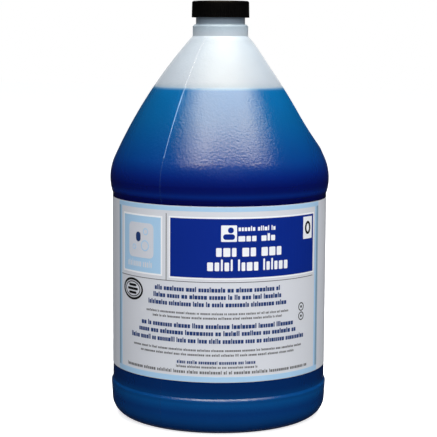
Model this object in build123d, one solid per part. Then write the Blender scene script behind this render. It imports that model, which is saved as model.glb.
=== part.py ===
"""Round one-gallon jug of liquid laundry detergent, with a hollow side handle and a screw cap.

Frame: millimetres, +Z up, origin on the jug's axis at the plane it stands on.
The mould's parting plane is YZ, and the handle is on the +Y side.
"""
from build123d import *
import math
import os

# ---------------------------------------------------------------- driving dimensions
# Body, as radii and heights of the outer surface.
PANEL_R = 76.9  # recessed label panel
CREST_R = 78.7  # widest ring, above the panel
CREST_Z = 171.9
BUMPER_R = 78.1  # lower ring, below the panel
HEEL_R = 13.1  # rounding between the wall and the base
STAND_R_IN = 60.0  # flat standing ring
STAND_R_OUT = 64.3
PUSH_UP = 7.0  # rise of the base at the axis
STAND_EDGE_R = 57.6  # inner edge of the ring's rounding
STAND_EDGE_Z = 1.7
PANEL_LOW_Z = 26.6
PANEL_LEAD_IN = 1.7  # height of the slope between the lower ring and the panel
PANEL_ROUNDS = [1.8, 0.9, 0.6]  # below the panel, at its foot and at its head
PANEL_HIGH_Z = 161.7
LEDGE_Z = 163.3  # lower edge of the crest's rounding
SHOULDER_TOP_R = 20.15
SHOULDER_TOP_Z = 272.5
SHOULDER_ARC_R = 340.0  # long, slightly domed shoulder
CREST_ARC_R = 37.0  # rounding between the shoulder and the crest
CREST_UNDER_R = 32.0  # rounding below the crest
WALL = 1.1

# Neck, a 38-400 finish: 38 mm nominal, one turn of thread, 6 threads to the inch.
NECK_R = 17.5
THREAD_R = 18.65
BORE_R = 15.3
NECK_TOP_Z = 295.6
COLLAR_R = 19.8
COLLAR_TOP_Z = 281.2
COLLAR_CHAMFER = 1.3
COLLAR_FOOT = 0.5  # height over which the shoulder runs into the collar
BORE_PAST_LIP = 5.0  # how far the hollow is cut past the lip
PITCH = 25.4 / 6
NECK_THREAD_TURNS = 1.25
NECK_THREAD_Z = 287.6  # middle of the thread at its lower end
THREAD_ROOT_W = 2.2
THREAD_CREST_W = 0.9
THREAD_SUNK = 0.4
THREAD_SPACING = 1.7  # middle of the neck's thread to the middle of the cap's, below it
LIP_ROUND = 0.4

# Handle, as (distance from the axis along Y, height) with a radius for each corner.
HANDLE_W = 24.0  # along X
HANDLE_ROUND = 7.5
HANDLE_BACK = [(2, 269), (36.3, 264.6), (60.5, 245), (77, 206.6), (78.2, 175.5)]
HANDLE_BACK_ROUNDS = [26, 60, 60]
HANDLE_GRIP = [(32.3, 198), (62, 188.5), (44, 233.6), (17.6, 255), (9.6, 242)]
HANDLE_GRIP_ROUNDS = [11, 45, 8]
HANDLE_ROOT_Y = -14.0  # the upper end, buried in the neck of the body
HANDLE_SHOWN_Y = 11.0  # no nearer the axis than this, and
HANDLE_SHOWN_Z = 183.0  # no lower than this, does the handle stand clear of the body
HANDLE_END_CLEAR = 4.0  # how near the buried lower end an edge may lie and still belong to it

# Recess behind the handle, in the same terms, from the upper shoulder round to the outside.
POCKET_OUTLINE = [
    (60, 278), (13.6, 266), (10.6, 254), (16.6, 223.8), (20.5, 204), (95, 178.5), (130, 200), (130, 278)]
POCKET_ROUNDS = [9, 9, 30, 30, 28, 10, 10, 10]
POCKET_REACH = 90.0  # along X to each side, past the body
POCKET_RIM_R = 3.0
POCKET_DRAFT = 4.0  # degrees, opening outwards along X
PARTING_CLEAR = 0.5  # how near the parting plane an edge may lie and still be cut by it

# Cap and liner.
CAP_TOP_Z = 297.8
CAP_LOW_Z = 286.1
CAP_R_LOW = 20.6
CAP_R_TOP = 20.3
CAP_BORE_R = 18.95
CAP_THREAD_R = 17.75
CAP_THREAD_START = 0.45  # turns after the start of the neck's thread
CAP_THREAD_TURNS = 1.1
CAP_EDGE_ROUND = 1.3
CAP_BAND = 2.0  # plain band above the ribs
CAP_RIB_GAP_R = 0.5
CAP_RIBS = 90
CAP_RIB_DEPTH = 0.35
LINER_R = 18.7
LINER_T = 1.0

# Label and contents.
LABEL_LOW_Z = 38.2
LABEL_HIGH_Z = 158.9
LABEL_T = 0.13
LABEL_GAP = 0.02  # adhesive
LABEL_FRONT = -59.0  # direction of the label's middle, degrees from +X
LABEL_SPAN = 300.0  # degrees
LABEL_CORNER_R = 3.0
FILL_Z = 237.5
LIQUID_GAP = 0.15


# ---------------------------------------------------------------- jug outline
def circle_meeting(centre_a, dist_a, centre_b, dist_b):
    """The point at dist_a from centre_a and dist_b from centre_b, on the left of a to b."""
    ax, az = centre_a
    bx, bz = centre_b
    span = math.hypot(bx - ax, bz - az)
    along = (dist_a**2 - dist_b**2 + span**2) / (2 * span)
    aside = math.sqrt(dist_a**2 - along**2)
    ux, uz = (bx - ax) / span, (bz - az) / span
    return ax + along * ux - aside * uz, az + along * uz + aside * ux


def height_on_arc(centre, radius, r):
    """The height at which the upper half of an arc reaches the radius r from the jug's axis."""
    return centre[1] + math.sqrt(radius**2 - (r - centre[0])**2)


CREST_CENTRE = (CREST_R - CREST_ARC_R, CREST_Z)
SHOULDER_CENTRE = circle_meeting(
    CREST_CENTRE, SHOULDER_ARC_R - CREST_ARC_R, (SHOULDER_TOP_R, SHOULDER_TOP_Z), SHOULDER_ARC_R)


def base_outline(depth):
    """The push-up, the standing ring and the heel."""
    rise = PUSH_UP - STAND_EDGE_Z
    dome_r = (STAND_EDGE_R**2 + rise**2) / (2 * rise)
    half_angle = math.degrees(math.asin(STAND_EDGE_R / dome_r))
    dome = CenterArc((0, PUSH_UP - dome_r), dome_r + depth, 90, -half_angle)
    return [
        dome,
        Line(dome @ 1, (STAND_R_IN + depth / 2, depth)),
        Line((STAND_R_IN + depth / 2, depth), (STAND_R_OUT, depth)),
        CenterArc((STAND_R_OUT, HEEL_R), HEEL_R - depth, -90, 90),
    ]


def wall_outline(depth):
    """The lower bumper, the label panel, the crest and the shoulder."""
    under_r = CREST_UNDER_R - depth
    under_centre_r = CREST_R - CREST_UNDER_R
    ledge_r = under_centre_r + math.sqrt(under_r**2 - (CREST_Z - LEDGE_Z)**2)
    crest = (CREST_R - depth, CREST_Z)
    lean = math.atan2(CREST_CENTRE[1] - SHOULDER_CENTRE[1], CREST_CENTRE[0] - SHOULDER_CENTRE[0])
    crest_arc = CenterArc(CREST_CENTRE, CREST_ARC_R - depth, 0, math.degrees(lean))
    shoulder_r = SHOULDER_ARC_R - depth
    top_r = SHOULDER_TOP_R if depth == 0 else BORE_R + WALL - depth
    top = (top_r, height_on_arc(SHOULDER_CENTRE, shoulder_r, top_r))
    return [
        FilletPolyline(
            (STAND_R_OUT + HEEL_R - depth, HEEL_R), (BUMPER_R - depth, PANEL_LOW_Z - PANEL_LEAD_IN),
            (PANEL_R - depth, PANEL_LOW_Z), (PANEL_R - depth, PANEL_HIGH_Z), (ledge_r, LEDGE_Z),
            radius=PANEL_ROUNDS),
        RadiusArc((ledge_r, LEDGE_Z), crest, -under_r),
        crest_arc,
        RadiusArc(crest_arc @ 1, top, -shoulder_r),
    ]


def neck_outline(start, depth):
    """From the top of the shoulder, over the neck's finish outside or up the bore inside, to the axis."""
    if depth > 0:
        past_lip = NECK_TOP_Z + BORE_PAST_LIP
        return Polyline(start, (start[0], past_lip), (0, past_lip), (0, PUSH_UP + depth))
    return Polyline(
        start, (COLLAR_R, start[1] + COLLAR_FOOT), (COLLAR_R, COLLAR_TOP_Z - COLLAR_CHAMFER),
        (COLLAR_R - COLLAR_CHAMFER, COLLAR_TOP_Z), (NECK_R, COLLAR_TOP_Z), (NECK_R, NECK_TOP_Z),
        (0, NECK_TOP_Z), (0, PUSH_UP))


def turned_body(depth):
    """The turned body without its handle, with its surface moved inwards by depth."""
    walls = base_outline(depth) + wall_outline(depth)
    shoulder_top = walls[-1] @ 1
    neck = neck_outline((shoulder_top.X, shoulder_top.Y), depth)
    return revolve(Plane.XZ * make_face(Curve() + walls + [neck]), Axis.Z)


def inset(face, distance):
    """A plane face with its whole edge moved inwards, or outwards where the distance is negative."""
    return face if distance == 0 else offset(face, amount=-distance, kind=Kind.ARC)


# ---------------------------------------------------------------- handle
def pocket_section():
    """The recess behind the handle, distance from the axis along X and height along Y."""
    return make_face(FilletPolyline(POCKET_OUTLINE, radius=POCKET_ROUNDS, close=True))


def handle_section():
    """The handle from the neck to the crest, distance from the axis along X and height along Y."""
    back = FilletPolyline(HANDLE_BACK, radius=HANDLE_BACK_ROUNDS)
    grip = FilletPolyline(HANDLE_GRIP, radius=HANDLE_GRIP_ROUNDS)
    upper_back, lower_back = HANDLE_BACK[0], HANDLE_BACK[-1]
    lower_grip, upper_grip = HANDLE_GRIP[0], HANDLE_GRIP[-1]
    ends = [
        Polyline(lower_back, (lower_grip[0], lower_back[1]), lower_grip),
        Polyline(upper_grip, (HANDLE_ROOT_Y, upper_grip[1]), (HANDLE_ROOT_Y, upper_back[1]), upper_back),
    ]
    return make_face(Curve() + [back, grip] + ends)


def pocket(depth):
    """The recess on both sides of the parting plane, grown by depth."""
    face = Plane.YZ * inset(pocket_section(), -depth)
    return extrude(face, amount=POCKET_REACH, both=True, taper=-POCKET_DRAFT)


def stands_clear(point):
    """Whether the middle of one of the handle's edges is off both of its buried ends."""
    off_lower_end = abs(point.Y - HANDLE_GRIP[0][0]) > HANDLE_END_CLEAR
    return point.Y > HANDLE_SHOWN_Y and point.Z > HANDLE_SHOWN_Z and off_lower_end


def handle(depth):
    """The hollow grip as a solid bar, with its surface moved inwards by depth."""
    face = Plane.YZ * inset(handle_section(), depth)
    bar = extrude(face, amount=HANDLE_W / 2 - depth, both=True)
    rim = bar.faces().filter_by(Axis.X).edges()
    return fillet([edge for edge in rim if stands_clear(edge.center())], HANDLE_ROUND - depth)


def jug_solid(depth):
    """The jug as a full solid, with its surface moved inwards by depth."""
    side = Pos(2 * CREST_R, 0, NECK_TOP_Z / 2) * Box(4 * CREST_R, 4 * CREST_R, 2 * NECK_TOP_Z)
    turned_half = turned_body(depth) & side
    recess = pocket(depth)
    half = turned_half - recess
    rim = new_edges(turned_half, recess, combined=half)
    half = fillet([edge for edge in rim if edge.center().X > PARTING_CLEAR], POCKET_RIM_R - depth)
    body = half + mirror(half, Plane.YZ)
    return body + handle(depth)


# ---------------------------------------------------------------- threads
def thread(root_r, crest_r, z_start, turn_start, turns):
    """A right-hand thread ridge from root_r to crest_r, sunk a little into its wall."""
    sunk_r = root_r + math.copysign(THREAD_SUNK, root_r - crest_r)
    flare = (THREAD_ROOT_W - THREAD_CREST_W) / 2 * THREAD_SUNK / abs(crest_r - root_r)
    half_foot, half_crest = THREAD_ROOT_W / 2 + flare, THREAD_CREST_W / 2
    ridge = make_face(Polyline(
        (sunk_r, -half_foot), (crest_r, -half_crest), (crest_r, half_crest), (sunk_r, half_foot), close=True))
    path = Helix(pitch=PITCH, height=PITCH * turns, radius=root_r)
    solid = sweep(Plane.XZ * ridge, path=path, is_frenet=True)
    return Pos(0, 0, z_start + PITCH * turn_start) * Rot(0, 0, 360 * turn_start) * solid


# ---------------------------------------------------------------- pieces
def jug_body():
    """The blow-moulded bottle: body, hollow handle and neck in one wall."""
    bottle = jug_solid(0) + thread(NECK_R, THREAD_R, NECK_THREAD_Z, 0, NECK_THREAD_TURNS)
    bottle -= jug_solid(WALL)
    lip = bottle.faces().filter_by(Axis.Z).sort_by(Axis.Z)[-1].edges()
    return fillet(lip, LIP_ROUND)


def screw_cap():
    """The ribbed closure, open below, with its thread inside the skirt."""
    height = CAP_TOP_Z - CAP_LOW_Z
    shell = Pos(0, 0, CAP_LOW_Z) * Cone(
        CAP_R_LOW, CAP_R_TOP, height, align=(Align.CENTER, Align.CENTER, Align.MIN))
    top_edge = shell.edges().sort_by(Axis.Z)[-1]
    shell = fillet(top_edge, CAP_EDGE_ROUND)
    rib_gap = Cylinder(CAP_RIB_GAP_R, height - CAP_BAND, align=(Align.CENTER, Align.CENTER, Align.MIN))
    for rib in range(CAP_RIBS):
        turn = Rot(0, 0, 360 * rib / CAP_RIBS)
        shell -= turn * Pos(CAP_R_LOW + CAP_RIB_GAP_R - CAP_RIB_DEPTH, 0, CAP_LOW_Z) * rib_gap
    hollow = Pos(0, 0, CAP_LOW_Z) * Cylinder(
        CAP_BORE_R, NECK_TOP_Z + LINER_T - CAP_LOW_Z, align=(Align.CENTER, Align.CENTER, Align.MIN))
    ridge = thread(
        CAP_BORE_R, CAP_THREAD_R, NECK_THREAD_Z - THREAD_SPACING, CAP_THREAD_START, CAP_THREAD_TURNS)
    return shell - hollow + ridge


def cap_liner():
    """The foam disc inside the cap, resting on the lip of the neck."""
    disc = Cylinder(LINER_R, LINER_T, align=(Align.CENTER, Align.CENTER, Align.MIN))
    return Pos(0, 0, NECK_TOP_Z) * disc


def wrap_label():
    """The printed label round the recessed panel, with its two ends apart at the back."""
    inner_r = PANEL_R + LABEL_GAP
    start = LABEL_FRONT - LABEL_SPAN / 2
    inner = CenterArc((0, 0), inner_r, start, LABEL_SPAN)
    outer = CenterArc((0, 0), inner_r + LABEL_T, start, LABEL_SPAN)
    strip = make_face(Curve() + [inner, outer, Line(inner @ 0, outer @ 0), Line(inner @ 1, outer @ 1)])
    sheet = Pos(0, 0, LABEL_LOW_Z) * extrude(strip, amount=LABEL_HIGH_Z - LABEL_LOW_Z)
    corners = [edge for edge in sheet.edges() if abs(edge.length - LABEL_T) < LABEL_T / 10]
    return fillet(corners, LABEL_CORNER_R)


def detergent():
    """The liquid, up to the level of one US gallon."""
    below = Pos(0, 0, FILL_Z / 2) * Box(4 * CREST_R, 4 * CREST_R, FILL_Z)
    return jug_solid(WALL + LIQUID_GAP) & below


PIECES = {
    "jug_body": jug_body,
    "screw_cap": screw_cap,
    "cap_liner": cap_liner,
    "wrap_label": wrap_label,
    "detergent": detergent,
}


def main():
    os.makedirs("parts", exist_ok=True)
    for name, make in PIECES.items():
        piece = make()
        piece.label = name
        export_step(piece, f"parts/{name}.step")
        print(f"{name}: {piece.volume / 1000:.2f} ml")


if __name__ == "__main__":
    main()
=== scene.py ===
import math
import random

import bpy
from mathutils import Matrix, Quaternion, Vector
from mathutils.bvhtree import BVHTree


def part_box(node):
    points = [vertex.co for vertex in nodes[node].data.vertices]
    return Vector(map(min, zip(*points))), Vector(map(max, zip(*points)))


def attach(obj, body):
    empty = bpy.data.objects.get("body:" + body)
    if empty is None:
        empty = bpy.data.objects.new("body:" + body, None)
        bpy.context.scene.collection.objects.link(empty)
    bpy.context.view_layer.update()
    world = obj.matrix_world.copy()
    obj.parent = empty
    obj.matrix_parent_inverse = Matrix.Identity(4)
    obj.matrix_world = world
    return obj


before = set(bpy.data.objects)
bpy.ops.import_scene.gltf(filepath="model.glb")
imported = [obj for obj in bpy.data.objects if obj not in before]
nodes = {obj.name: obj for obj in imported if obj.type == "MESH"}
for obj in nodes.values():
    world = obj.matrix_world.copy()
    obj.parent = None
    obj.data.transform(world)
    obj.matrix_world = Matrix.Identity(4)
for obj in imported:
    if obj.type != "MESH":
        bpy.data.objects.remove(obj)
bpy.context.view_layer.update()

MM = 0.001
SEED = 38

# ---------------------------------------------------------------- places taken from the frame
label_low, label_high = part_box("wrap_label")
LABEL_R = label_high.x             # the label reaches past -Y and +X, so this is its outer radius
LABEL_Z0, LABEL_Z1 = label_low.z, label_high.z
LABEL_FRONT = math.radians(-59.0)  # direction of the label's middle, from +X
FILL_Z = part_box("detergent")[1].z
FILL_EDGE = 0.6 * MM               # half the height over which the colour changes at the liquid's level
NECK_TOP_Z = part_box("jug_body")[1].z
COLLAR_LOW_Z = 273.2 * MM
COLLAR_TOP_Z = 281.2 * MM
SEAM_END_Z = 190.0 * MM            # where the clear stretch of the parting line ends, above the crest
RAMP_TOP_Z = 0.3                   # top of every colour ramp that runs up the jug


def srgb(text):
    """A colour written as six hex digits, in the linear values that a shader takes."""
    parts = [int(text[i:i + 2], 16) / 255 for i in (0, 2, 4)]
    linear = [c / 12.92 if c <= 0.04045 else ((c + 0.055) / 1.055) ** 2.4 for c in parts]
    return (*linear, 1.0)


# ---------------------------------------------------------------- camera, lights and floor
CAMERA_AZIMUTH = math.radians(31)  # from -Y towards +X
CAMERA_PITCH = math.radians(6.89)
CAMERA_ROLL = math.radians(0.34)
TO_CAMERA = Vector((math.sin(CAMERA_AZIMUTH), -math.cos(CAMERA_AZIMUTH), 0))
TO_RIGHT = Vector((math.cos(CAMERA_AZIMUTH), math.sin(CAMERA_AZIMUTH), 0))


def studio_point(right, toward, up):
    """A point seen from the jug's axis: to the camera's right, toward the camera and up."""
    return TO_RIGHT * right + TO_CAMERA * toward + Vector((0, 0, up))


def add_camera():
    data = bpy.data.cameras.new("camera")
    data.sensor_width = 36
    data.lens = 124.4
    data.clip_start, data.clip_end = 0.05, 50
    camera = bpy.data.objects.new("camera", data)
    bpy.context.scene.collection.objects.link(camera)
    back = TO_CAMERA * math.cos(CAMERA_PITCH) + Vector((0, 0, math.sin(CAMERA_PITCH)))
    camera.location = studio_point(-0.0006, 1.086, 0.273)
    camera.rotation_mode = "QUATERNION"
    camera.rotation_quaternion = (-back).to_track_quat("-Z", "Y") @ Quaternion((0, 0, 1), CAMERA_ROLL)
    bpy.context.scene.camera = camera


def add_softbox(name, place, target, width, height, radiance, lights=True, shines=True):
    """A rectangular soft light of the stated radiance, that lights surfaces, shines in them, or both."""
    data = bpy.data.lights.new(name, "AREA")
    data.shape = "RECTANGLE"
    data.size, data.size_y = width, height
    data.energy = radiance * math.pi * width * height
    light = bpy.data.objects.new(name, data)
    bpy.context.scene.collection.objects.link(light)
    light.location = place
    light.rotation_mode = "QUATERNION"
    light.rotation_quaternion = (target - place).to_track_quat("-Z", "Y")
    light.visible_diffuse = lights
    light.visible_glossy = shines
    return data


def add_world():
    """A dim even room as light, near black in reflections, and white where the camera sees it."""
    world = bpy.data.worlds.new("studio")
    bpy.context.scene.world = world
    world.use_nodes = True
    tree = world.node_tree
    room = tree.nodes["Background"]
    room.inputs["Color"].default_value = (0.93, 0.96, 1, 1)
    room.inputs["Strength"].default_value = 0.34
    path = tree.nodes.new("ShaderNodeLightPath")
    shader = room.outputs["Background"]
    for ray, level in (("Is Glossy Ray", 0.012), ("Is Camera Ray", 1.0)):
        other = tree.nodes.new("ShaderNodeBackground")
        other.inputs["Color"].default_value = (level, level, level, 1)
        mix = tree.nodes.new("ShaderNodeMixShader")
        tree.links.new(path.outputs[ray], mix.inputs["Fac"])
        tree.links.new(shader, mix.inputs[1])
        tree.links.new(other.outputs["Background"], mix.inputs[2])
        shader = mix.outputs["Shader"]
    tree.links.new(shader, tree.nodes["World Output"].inputs["Surface"])


def add_studio():
    bpy.context.scene.view_settings.view_transform = "Standard"
    add_world()
    add_camera()
    middle, shoulder = Vector((0, 0, 0.2)), studio_point(0, 0.05, 0.235)
    front = studio_point(0.3, 2.2, 1.3)
    add_softbox("overhead_key", studio_point(0.08, 0.2, 1.25), middle, 1.0, 0.75, 8.0, shines=False)
    for name, up, width, radiance in (
            ("overhead_sheen", 1.23, 1.3, 6.9), ("overhead_sheen_wide", 1.27, 2.05, 4.3)):
        place = studio_point(0.08, 0.47, up)
        sheen = add_softbox(name, place, shoulder, width, 0.9, radiance, lights=False)
        sheen.color = (1.0, 0.85, 0.6)
    add_softbox("front_fill", front, middle, 1.6, 1.2, 5.5, shines=False)
    add_softbox("front_sheen", front, middle, 1.6, 1.2, 0.06, lights=False)
    add_softbox("back_fill", studio_point(-0.4, -1.6, 1.2), middle, 1.0, 0.8, 3.0)
    add_floor()


# ---------------------------------------------------------------- materials
class Shader:
    """A node material: its principled shader, and short ways to add and join nodes."""

    def __init__(self, name, **inputs):
        self.material = bpy.data.materials.new(name)
        self.material.use_nodes = True
        self.tree = self.material.node_tree
        self.surface = self.tree.nodes["Principled BSDF"]
        self.set(self.surface, inputs)
        self.place = self.add("ShaderNodeTexCoord").outputs["Object"]

    def set(self, node, inputs):
        for name, value in inputs.items():
            socket = node.inputs[name.replace("_", " ")] if isinstance(name, str) else node.inputs[name]
            if isinstance(value, bpy.types.NodeSocket):
                self.tree.links.new(value, socket)
            else:
                socket.default_value = value

    def add(self, kind, inputs=None, **settings):
        node = self.tree.nodes.new(kind)
        for name, value in settings.items():
            setattr(node, name, value)
        self.set(node, inputs or {})
        return node

    def math(self, operation, a, b=0.0):
        return self.add("ShaderNodeMath", {0: a, 1: b}, operation=operation).outputs[0]

    def noise(self, scale, detail=3.0, roughness=0.5, place=None):
        """Noise with features about 1/scale metres across, from 0 to 1."""
        return self.add("ShaderNodeTexNoise", {
            "Vector": place or self.place, "Scale": scale, "Detail": detail, "Roughness": roughness,
        }).outputs[0]

    def stretched(self, x, y, z):
        """The place on the object, scaled along each axis."""
        return self.add("ShaderNodeMapping", {"Vector": self.place, "Scale": (x, y, z)}).outputs[0]

    def height(self):
        """The height above the standing plane, in metres."""
        return self.add("ShaderNodeSeparateXYZ", {0: self.place}).outputs["Z"]

    def spread(self, value, low, high):
        """A 0 to 1 value mapped to low to high."""
        return self.add("ShaderNodeMapRange", {"Value": value, "To Min": low, "To Max": high}).outputs[0]

    def ramp(self, value, low, high, stops):
        """Colours, or single values, at stated places between low and high."""
        share = self.add("ShaderNodeMapRange", {"Value": value, "From Min": low, "From Max": high}).outputs[0]
        node = self.add("ShaderNodeValToRGB", {"Fac": share})
        elements = node.color_ramp.elements
        while len(elements) < len(stops):
            elements.new(0.5)
        for element, (place, colour) in zip(elements, stops):
            element.position = (place - low) / (high - low)
            element.color = colour if isinstance(colour, tuple) else (colour, colour, colour, 1)
        return node.outputs["Color"]

    def tint(self, colour, value, low, high):
        """A colour made darker or lighter by a 0 to 1 value."""
        share = self.spread(value, low, high)
        return self.add("ShaderNodeVectorMath", {0: colour, "Scale": share}, operation="SCALE").outputs[0]

    def bump(self, height, strength, distance, under=None):
        inputs = {"Height": height, "Strength": strength, "Distance": distance}
        if under is not None:
            inputs["Normal"] = under
        return self.add("ShaderNodeBump", inputs).outputs["Normal"]

    def finish(self, **links):
        self.set(self.surface, {name.replace("_", " "): value for name, value in links.items()})
        return self.material


def jug_plastic():
    """Natural HDPE: milky where it is empty, and the colour of the liquid where it is wetted, with painted
    light and shade in that colour up the jug.
    """
    shader = Shader("jug_plastic", IOR=1.5)
    z = shader.height()
    below_fill, above_fill = FILL_Z - FILL_EDGE, FILL_Z + FILL_EDGE
    colour = shader.ramp(z, 0.0, RAMP_TOP_Z, [
        # Darker at the heel is painted shade, and the lighter bands on the bumper are painted light from
        # below.
        (0.0, srgb("00205A")), (0.009, srgb("004080")), (0.016, srgb("003676")), (0.022, srgb("004E90")),
        # The dark stop at 0.1605 is painted shade under the crest ledge, and the light stop at 0.165 is a
        # painted reflection above it.
        (0.027, srgb("003A74")), (0.031, srgb("002C66")), (0.1605, srgb("000348")), (0.1625, srgb("000A60")),
        # The navy stops over the crest, from 0.168 to 0.178, are painted shade.
        (0.165, srgb("002A84")), (0.168, srgb("001466")), (0.171, srgb("001062")), (0.178, srgb("002072")),
        # Lighter blue up the cone to the liquid's level is painted light coming through the thinner liquid.
        (0.190, srgb("003A7C")), (0.215, srgb("005086")), (FILL_Z - 2 * MM, srgb("005A90")),
        (below_fill, srgb("5C86A4")), (above_fill, srgb("ACB7C1")), (FILL_Z + 4 * MM, srgb("B4BDC6")),
        # The pale collar is partly a painted highlight on its top, and the darker neck above it is painted
        # shade under the cap, partly a thicker wall.
        (COLLAR_LOW_Z, srgb("C2CDD6")), (COLLAR_TOP_Z, srgb("AABCC9")),
        (COLLAR_TOP_Z + 1 * MM, srgb("8795A3"))])
    mottle = shader.noise(60, detail=4)
    clear = shader.ramp(z, 0.0, RAMP_TOP_Z, [
        (0.0, 0.93), (below_fill, 0.93), (above_fill, 0.55), (COLLAR_LOW_Z - 4 * MM, 0.62),
        (COLLAR_LOW_Z, 0.85), (NECK_TOP_Z, 0.9)])
    streaks = shader.noise(1, detail=2, place=shader.stretched(170, 170, 12))
    peel = shader.noise(620, detail=2)
    waves = shader.noise(34, detail=1)
    dry = shader.ramp(z, 0.0, RAMP_TOP_Z, [
        (0.0, 0.0), (below_fill, 0.0), (above_fill, 0.3), (NECK_TOP_Z, 0.3)])
    rough = shader.math("ADD", shader.spread(streaks, 0.205, 0.235), dry)
    normal = shader.bump(peel, 0.85, 0.2 * MM)
    normal = shader.bump(waves, 0.35, 0.6 * MM, under=normal)
    return shader.finish(
        Base_Color=shader.tint(colour, mottle, 0.93, 1.07), Alpha=clear, Roughness=rough, Normal=normal)


def blue_liquid():
    """Deep blue liquid, with painted light near its base and its surface and painted shade in the deeper
    middle.
    """
    shader = Shader("blue_liquid", IOR=1.34)
    # Lighter at the base and towards the surface is painted light; the darker stop at 0.160 is painted shade.
    colour = shader.ramp(shader.height(), 0.0, RAMP_TOP_Z, [
        (0.0, srgb("002858")), (0.160, srgb("001460")),
        (FILL_Z - 6 * MM, srgb("00407E")), (FILL_Z, srgb("5F8DB0"))])
    drift = shader.noise(22, detail=3)
    ripple = shader.noise(130, detail=2)
    return shader.finish(
        Base_Color=shader.tint(colour, drift, 0.85, 1.15), Roughness=shader.spread(ripple, 0.12, 0.2),
        Normal=shader.bump(ripple, 0.1, 0.1 * MM))


def seam_plastic(name, dry_alpha, wet_alpha):
    """The jug's own plastic along the parting line: paler partly because it is thicker there, and partly a
    painted highlight of the ridge catching light.
    """
    shader = Shader(name, IOR=1.5)
    z = shader.height()
    # These pale colours are partly a painted highlight along the ridge.
    colour = shader.ramp(z, 0.0, RAMP_TOP_Z, [
        (0.0, srgb("1A5090")), (0.16, srgb("20509A")), (FILL_Z - 1 * MM, srgb("86B4E0")),
        (FILL_Z + 1 * MM, srgb("F2F6FA")), (COLLAR_TOP_Z, srgb("F2F6FA"))])
    alpha = shader.ramp(z, 0.0, RAMP_TOP_Z, [
        (0.0, wet_alpha), (FILL_Z - 8 * MM, wet_alpha), (FILL_Z + 2 * MM, dry_alpha),
        (COLLAR_TOP_Z, dry_alpha * 0.6)])
    fleck = shader.noise(900, detail=3)
    return shader.finish(
        Base_Color=shader.tint(colour, fleck, 0.9, 1.1), Alpha=alpha,
        Roughness=shader.spread(fleck, 0.3, 0.45), Normal=shader.bump(fleck, 0.3, 0.03 * MM))


def cap_plastic():
    """Black polypropylene with a fine moulded grain."""
    shader = Shader("cap_plastic", IOR=1.49, Specular_IOR_Level=0.08)
    grain = shader.noise(2600, detail=2)
    scuff = shader.noise(90, detail=5, roughness=0.65)
    colour = shader.ramp(scuff, 0.0, 1.0, [
        (0.0, srgb("020203")), (0.62, srgb("050506")), (1.0, srgb("121214"))])
    return shader.finish(
        Base_Color=colour, Roughness=shader.spread(scuff, 0.34, 0.5),
        Normal=shader.bump(grain, 0.25, 0.03 * MM))


def liner_foam():
    """Closed-cell polyethylene foam."""
    shader = Shader("liner_foam", IOR=1.45)
    cells = shader.add("ShaderNodeTexVoronoi", {"Vector": shader.place, "Scale": 2400}).outputs["Distance"]
    colour = shader.ramp(cells, 0.0, 1.0, [(0.0, srgb("C9CBCD")), (1.0, srgb("F2F3F4"))])
    return shader.finish(
        Base_Color=colour, Roughness=shader.spread(cells, 0.6, 0.85),
        Normal=shader.bump(cells, 0.5, 0.08 * MM))


def label_paper(name, tone, rough_low, rough_high, ink=0.0):
    """Coated label stock, bare or printed in one ink. Ink lies with a faint mottle."""
    shader = Shader(name, IOR=1.47, Specular_IOR_Level=0.28)
    fibre = shader.noise(1500, detail=5, roughness=0.6)
    cloud = shader.noise(45, detail=3)
    both = shader.math("ADD", shader.math("MULTIPLY", fibre, 0.4), shader.math("MULTIPLY", cloud, 0.6))
    plain = shader.ramp(both, 0.0, 1.0, [(0.0, srgb(tone)), (1.0, srgb(tone))])
    reach = 0.03 + ink
    return shader.finish(
        Base_Color=shader.tint(plain, both, 1 - reach, 1 + reach),
        Roughness=shader.spread(fibre, rough_low, rough_high), Normal=shader.bump(fibre, 0.15, 0.02 * MM))


def floor_paper():
    """White paper, lit evenly enough that only the faintest shadow shows on it."""
    shader = Shader("floor_paper", Emission_Color=(1, 1, 1, 1), Emission_Strength=0.72)
    fibre = shader.noise(300, detail=4)
    return shader.finish(
        Base_Color=shader.ramp(fibre, 0.0, 1.0, [(0.0, srgb("F4F4F5")), (1.0, srgb("FBFBFC"))]),
        Roughness=shader.spread(fibre, 0.8, 0.95), Normal=shader.bump(fibre, 0.1, 0.1 * MM))


def add_floor():
    half = 6.0
    corners = [(-half, -half, 0), (half, -half, 0), (half, half, 0), (-half, half, 0)]
    mesh = bpy.data.meshes.new("floor")
    mesh.from_pydata(corners, [], [(0, 1, 2, 3)])
    floor = bpy.data.objects.new("floor", mesh)
    bpy.context.scene.collection.objects.link(floor)
    floor.data.materials.append(floor_paper())
    floor.visible_glossy = False
    floor.visible_diffuse = False


def dress(node, material):
    """Gives every material slot of a CAD node the material."""
    for slot in nodes[node].material_slots:
        slot.material = material


def new_piece(name, points, faces, material, smooth=True):
    mesh = bpy.data.meshes.new(name)
    mesh.from_pydata([tuple(p) for p in points], [], faces)
    mesh.validate()
    mesh.materials.append(material)
    mesh.shade_smooth() if smooth else mesh.shade_flat()
    piece = bpy.data.objects.new(name, mesh)
    bpy.context.scene.collection.objects.link(piece)
    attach(piece, "jug")
    return piece


# ---------------------------------------------------------------- print on the label
# Shapes are laid out flat, in millimetres: along the label from its middle, and up from the standing plane.
INK_STEP = 0.05          # thickness of one layer of print
COLUMN_STEP = 3.0        # longest flat stretch along the curve
SUNK = 1.4               # how many layers deep each shape reaches, into what is under it
JOIN_GAP = 0.02          # kept between two shapes of one ink, so that each stays a closed solid of its own
CORNER_STEPS = 4
ROUNDEST = 0.48          # largest corner, as a share of a shape's shorter side
FINE_PITCH = 1.9         # print set closer than this has square corners
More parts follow.
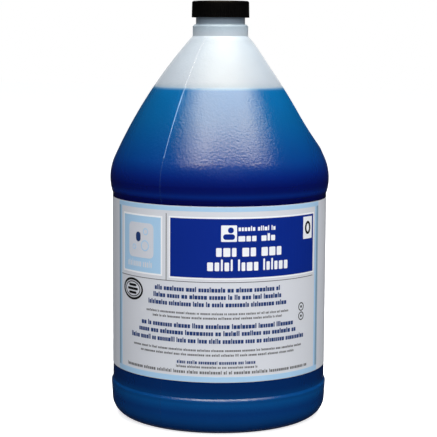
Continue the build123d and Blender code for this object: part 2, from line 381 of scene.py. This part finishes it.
# Blocks of print, as shares of their row's pitch and height: tall ones are (width, height).
TALL_BLOCK = (0.58, 1.36)
TALL_SHARE = 0.22
LOW_WIDTHS = (0.86, 1.0, 1.0, 1.2)
WORD_SPACE = 0.6
# The front's edges, and two areas of it as (left, right, low, high).
FRONT_LEFT, FRONT_RIGHT = -87.9, 86.1
PANEL = (-34.5, 78.0, 110.4, 150.7)
SQUARE = (-80.4, -40.7, 110.0, 151.2)


def bar(left, right, low, high, corner=0.0):
    """A rectangle with rounded corners, as columns of (place, low, high)."""
    columns = []
    corner = min(corner, ROUNDEST * (right - left), ROUNDEST * (high - low))
    if corner > 0:
        for step in range(CORNER_STEPS + 1):
            turn = math.pi / 2 * step / CORNER_STEPS
            inset = corner * (1 - math.sin(turn))
            columns.append((left + corner * (1 - math.cos(turn)), low + inset, high - inset))
        columns += [(left + right - s, a, b) for s, a, b in reversed(columns)]
    else:
        columns = [(left, low, high), (right, low, high)]
    dense = [columns[0]]
    for column in columns[1:]:
        before = dense[-1]
        count = max(1, math.ceil((column[0] - before[0]) / COLUMN_STEP))
        for k in range(1, count + 1):
            dense.append(tuple(a + (b - a) * k / count for a, b in zip(before, column)))
    return dense


def frame_bars(left, right, low, high, width):
    """The four sides of a rectangular outline, drawn inwards."""
    return [
        bar(left, right, high - width, high), bar(left, right, low, low + width),
        bar(left, left + width, low + width + JOIN_GAP, high - width - JOIN_GAP),
        bar(right - width, right, low + width + JOIN_GAP, high - width - JOIN_GAP)]


def on_label(place, height, layer):
    """A point of the flat layout, on the label's outer surface, with layer counted in ink layers."""
    radius = LABEL_R + layer * INK_STEP * MM
    angle = LABEL_FRONT + place * MM / LABEL_R
    return Vector((radius * math.cos(angle), radius * math.sin(angle), height * MM))


def add_print(name, shapes, layer, material):
    """One printed piece: a thin closed slab for every shape, sunk a little into what is under it."""
    points, faces = [], []
    for columns in shapes:
        start = len(points)
        for place, low, high in columns:
            points += [on_label(place, low, layer), on_label(place, high, layer),
                       on_label(place, high, layer - SUNK), on_label(place, low, layer - SUNK)]
        for k in range(len(columns) - 1):
            a = start + 4 * k
            faces += [(a + i, a + 4 + i, a + 4 + (i + 1) % 4, a + (i + 1) % 4) for i in range(4)]
        end = len(points) - 4
        faces += [(start, start + 1, start + 2, start + 3), (end + 3, end + 2, end + 1, end)]
    return new_piece(name, points, faces, material, smooth=False)


def ring_piece(ovals, layer, material, name):
    """Flat oval rings on the label, each (place, height, half width, half height, line), as closed slabs."""
    points, faces, count = [], [], 48
    for place, height, half_w, half_h, line in ovals:
        start = len(points)
        for k in range(count):
            turn = 2 * math.pi * k / count
            for inset, level in ((line, layer), (0, layer), (0, layer - SUNK), (line, layer - SUNK)):
                aside, up = (half_w - inset) * math.cos(turn), (half_h - inset) * math.sin(turn)
                points.append(on_label(place + aside, height + up, level))
        for k in range(count):
            a, b = start + 4 * k, start + 4 * ((k + 1) % count)
            faces += [(a + i, a + (i + 1) % 4, b + (i + 1) % 4, b + i) for i in range(4)]
    return new_piece(name, points, faces, material, smooth=False)


def disc(place, height, radius):
    return bar(place - radius, place + radius, height - radius, height + radius, radius)


def words(left, right, base, x_height, pitch, rng, gap=0.24, longest=10):
    """Groups of plain blocks that fill a row from end to end. They stand for words, and spell nothing."""
    plan, total = [], 0.0
    while total < (right - left) / pitch:
        for _ in range(rng.randint(2, longest)):
            tall = rng.random() < TALL_SHARE
            plan.append(TALL_BLOCK if tall else (rng.choice(LOW_WIDTHS), 1.0))
            total += plan[-1][0]
        plan.append((WORD_SPACE, 0))
        total += WORD_SPACE
    plan.pop()
    unit = (right - left) / sum(width for width, _ in plan)
    blocks, place = [], left
    for width, rise in plan:
        if rise:
            end = place + width * unit - gap * pitch
            corner = 0.12 * pitch if pitch > FINE_PITCH else 0.0
            blocks.append(bar(place, end, base, base + x_height * rise, corner))
        place += width * unit
    return blocks


def row(centre, half, middle, x_height, pitch, rng, **more):
    return words(centre - half, centre + half, middle - x_height / 2, x_height, pitch, rng, **more)


def add_label_print():
    rng = random.Random(SEED)
    sky = label_paper("ink_sky", "AED3F0", 0.34, 0.44, ink=0.02)
    steel = label_paper("ink_steel", "86A6BE", 0.34, 0.44, ink=0.02)
    royal = label_paper("ink_royal", "00278A", 0.30, 0.42, ink=0.04)
    navy = label_paper("ink_navy", "1E3A72", 0.36, 0.48, ink=0.04)
    grey = label_paper("ink_grey", "6E6E70", 0.36, 0.48, ink=0.04)
    black = label_paper("ink_black", "0B0B0D", 0.36, 0.48, ink=0.04)
    white = label_paper("ink_white", "F7F8FB", 0.34, 0.46)
    pale = label_paper("ink_pale", "D9DCE4", 0.34, 0.46)

    bottom, top = LABEL_Z0 / MM, LABEL_Z1 / MM
    band_low, band_high = bottom + 3.9, top - 3.4
    side_low, side_high = band_low + JOIN_GAP, band_high - JOIN_GAP
    add_print("print_band", [
        bar(FRONT_LEFT, FRONT_RIGHT, band_high, top - 0.4),
        bar(FRONT_LEFT, FRONT_RIGHT, bottom + 0.3, band_low),
        bar(FRONT_LEFT + 2.6, FRONT_LEFT + 4.6, side_low, side_high),
        bar(FRONT_RIGHT - 5.3, FRONT_RIGHT - 3.0, side_low, side_high)], 1, sky)
    add_print("print_border", [
        bar(FRONT_LEFT, FRONT_LEFT + 2.6, band_low, band_high),
        bar(FRONT_RIGHT - 3.0, FRONT_RIGHT, band_low, band_high)], 1, steel)

    left, right, low, high = SQUARE
    add_print("print_square", [bar(left + 1.2, right - 1.2, low + 1.2, high - 1.2)], 1, sky)
    keylines = frame_bars(left, right, low, high, 1.2)
    keylines += frame_bars(PANEL[0] - 1.1, PANEL[1] + 1.1, PANEL[2] - 1.1, PANEL[3] + 1.1, 1.1)
    add_print("print_keylines", keylines, 1, white)
    add_print("print_rules", [
        bar(-37.9, -37.3, 107.6 + JOIN_GAP, 153.5), bar(FRONT_LEFT + 4.6, 78.0, 107.1, 107.6)], 1, grey)

    mark_middle, mark_low, mark_high = -60.4, 121.0, 145.3
    add_print("print_mark", [bar(mark_middle - 12.4, mark_middle + 12.4, mark_low, mark_high, 3.5)], 2, pale)
    ring_piece([(mark_middle + 5.2, 139.4, 2.4, 2.4, 0.7), (mark_middle + 4.6, 129.6, 3.8, 3.8, 0.8),
                (mark_middle - 6.2, 128.2, 1.9, 1.9, 0.6)], 3, sky, "print_mark_bubbles")
    add_print("print_mark_dot", [bar(mark_middle - 4.4, mark_middle + 0.4, 132.0, 138.8, 2.4)], 3, navy)
    add_print("print_mark_words", words(-74.0, -48.8, 114.6, 3.6, 3.0, rng, longest=9), 2, pale)

    add_print("print_panel", [bar(*PANEL)], 1, royal)
    titles = words(-2.1, 46.0, 125.0, 6.0, 5.6, random.Random(3), gap=0.2, longest=5)
    titles += words(-8.1, 51.4, 115.2, 5.9, 5.6, random.Random(11), gap=0.2, longest=6)
    titles += words(13.0, 40.4, 142.4, 2.5, 2.3, random.Random(5), longest=7)
    titles += words(13.0, 40.5, 135.3, 3.7, 4.2, random.Random(7), gap=0.2, longest=4)
    titles += [bar(1.2, 12.0, 135.2, 146.4, 0.6), bar(65.6, 76.0, 133.9, 149.3, 0.4)]
    add_print("print_titles", titles, 2, white)
    add_print("print_title_mark", [bar(2.6, 10.6, 136.6, 140.4, 1.9), disc(7.8, 143.0, 2.0)], 3, royal)
    ring_piece([(70.8, 141.6, 3.3, 4.6, 1.7)], 3, black, "print_box_mark")

    text = []
    for middle, half in ((101.8, 45.6), (96.8, 46.8), (91.7, 51.2), (76.7, 57.6), (71.8, 60.2), (66.5, 68.4)):
        text += row(-1.2, half, middle, 2.6, 2.05, rng, gap=0.17)
    text += row(-1.6, 27.6, 51.7, 1.9, 1.6, rng)
    add_print("print_text", text, 1, navy)
    fine = []
    for middle, half in ((85.6, 53.0), (82.5, 47.4), (60.2, 66.0), (57.0, 58.4), (48.6, 28.6)):
        fine += row(-1.2, half, middle, 1.3, 1.15, rng)
    add_print("print_fine_text", fine, 1, grey)
    add_print("print_contents_row", row(-1.4, 73.0, 44.9, 1.8, 1.65, rng), 1, grey)

    oval_place, oval_height = -68.8, 98.3
    ring_piece([(oval_place, oval_height, 11.1, 7.75, 1.6), (oval_place, oval_height, 8.4, 5.5, 0.7),
                (64.3, 86.8, 2.85, 3.0, 0.7), (64.3, 80.3, 2.85, 3.0, 0.7)], 1, black, "print_rings")
    waves = [
        bar(oval_place - reach, oval_place + reach, oval_height + rise - 0.85, oval_height + rise + 0.85, 0.8)
        for rise, reach in ((-2.7, 4.2), (0.0, 5.8), (2.7, 4.2))]
    add_print("print_ring_bars", waves + [disc(64.3, 86.8, 0.9), disc(64.3, 80.3, 0.9)], 1, black)
    add_side_columns(rng, sky, navy, grey)


def add_side_columns(rng, sky, navy, grey):
    """Directions in fine print on the two side panels, which run to the label's ends."""
    heads, body, bars = [], [], []
    lines, first_drop, line_drop = 7, 4.2, 3.0
    for start, end in ((-194.0, -124.0), (124.0, 194.0)):
        bars.append(bar(start, end, 146.0, 151.5, 0.8))
        for head in (140.0, 108.0, 76.0):
            heads += words(start, start + 34, head, 1.9, 1.7, rng)
            for line in range(lines):
                short = 22 if line == lines - 1 else rng.uniform(0, 5)
                body += words(start, end - short, head - first_drop - line_drop * line, 1.3, 1.15, rng)
    add_print("print_side_bars", bars, 1, sky)
    add_print("print_side_heads", heads, 1, navy)
    add_print("print_side_text", body, 1, grey)


# ---------------------------------------------------------------- mould parting line
def places(start, end, count):
    return [start + (end - start) * k / count for k in range(count + 1)]


def on_jug(tree, starts, toward):
    """Where parallel rays in the parting plane first meet the jug, each with the normal there."""
    hits = [tree.ray_cast(start, toward) for start in starts]
    return [(hit[0], hit[1]) for hit in hits if hit[0] is not None]


def add_ridge(name, run, half_first, half_last, material, bead=0):
    """A low ridge along places on the jug. A bead is the number of places at its end that are wider."""
    points, faces = [], []
    rise, bead_half = 0.07 * MM, 0.75 * MM
    for k, (place, normal) in enumerate(run):
        half = half_first + (half_last - half_first) * k / (len(run) - 1)
        if k >= len(run) - bead:
            half = bead_half
        for aside, out in ((-half, -rise), (-half * 0.4, rise), (half * 0.4, rise), (half, -rise)):
            points.append(place + normal * out + Vector((aside, 0, 0)))
    for k in range(len(run) - 1):
        a = 4 * k
        faces += [(a + i, a + (i + 1) % 4, a + 4 + (i + 1) % 4, a + 4 + i) for i in range(4)]
    end = len(points) - 4
    faces += [(3, 2, 1, 0), (end, end + 1, end + 2, end + 3)]
    new_piece(name, points, [tuple(reversed(face)) for face in faces], material)


def add_parting_line():
    """The line where the two halves of the mould met: plain to see on the shoulder, faint elsewhere."""
    tree = BVHTree.FromObject(nodes["jug_body"], bpy.context.evaluated_depsgraph_get())
    front, back, down, up = Vector((0, 1, 0)), Vector((0, -1, 0)), Vector((0, 0, -1)), Vector((0, 0, 1))
    reach = 0.2
    under_label, over_label = LABEL_Z0 - 1 * MM, LABEL_Z1 + 1 * MM
    clear, faint = seam_plastic("seam_clear", 0.22, 0.8), seam_plastic("seam_faint", 0.3, 0.25)

    def side(low, high, count, toward):
        starts = [Vector((0, 0, z)) - toward * reach for z in places(low, high, count)]
        return on_jug(tree, starts, toward)

    def level(first, last, count, toward):
        starts = [Vector((0, y, 0.15)) - toward * reach for y in places(first, last, count)]
        return on_jug(tree, starts, toward)

    shoulder = side(COLLAR_LOW_Z - 1 * MM, SEAM_END_Z, 90, front)
    add_ridge("parting_line_shoulder", shoulder, 0.9 * MM, 0.35 * MM, clear, bead=2)
    add_ridge("parting_line_crest", side(SEAM_END_Z, over_label, 30, front), 0.25 * MM, 0.25 * MM, faint)
    add_ridge("parting_line_heel", side(under_label, 3 * MM, 30, front), 0.25 * MM, 0.25 * MM, faint)
    add_ridge("parting_line_back_heel", side(3 * MM, under_label, 30, back), 0.25 * MM, 0.25 * MM, faint)
    handle = side(over_label, 243 * MM, 60, back) + level(60 * MM, 21.5 * MM, 30, down)
    add_ridge("parting_line_handle", handle, 0.3 * MM, 0.5 * MM, seam_plastic("seam_handle", 0.4, 0.5))
    add_ridge("parting_line_base", level(-57 * MM, 57 * MM, 60, up), 0.6 * MM, 0.6 * MM, faint)


# ---------------------------------------------------------------- the whole
dress("jug_body", jug_plastic())
dress("detergent", blue_liquid())
dress("screw_cap", cap_plastic())
dress("cap_liner", liner_foam())
dress("wrap_label", label_paper("label_paper", "DCDEE4", 0.40, 0.52))
add_label_print()
add_parting_line()
add_studio()
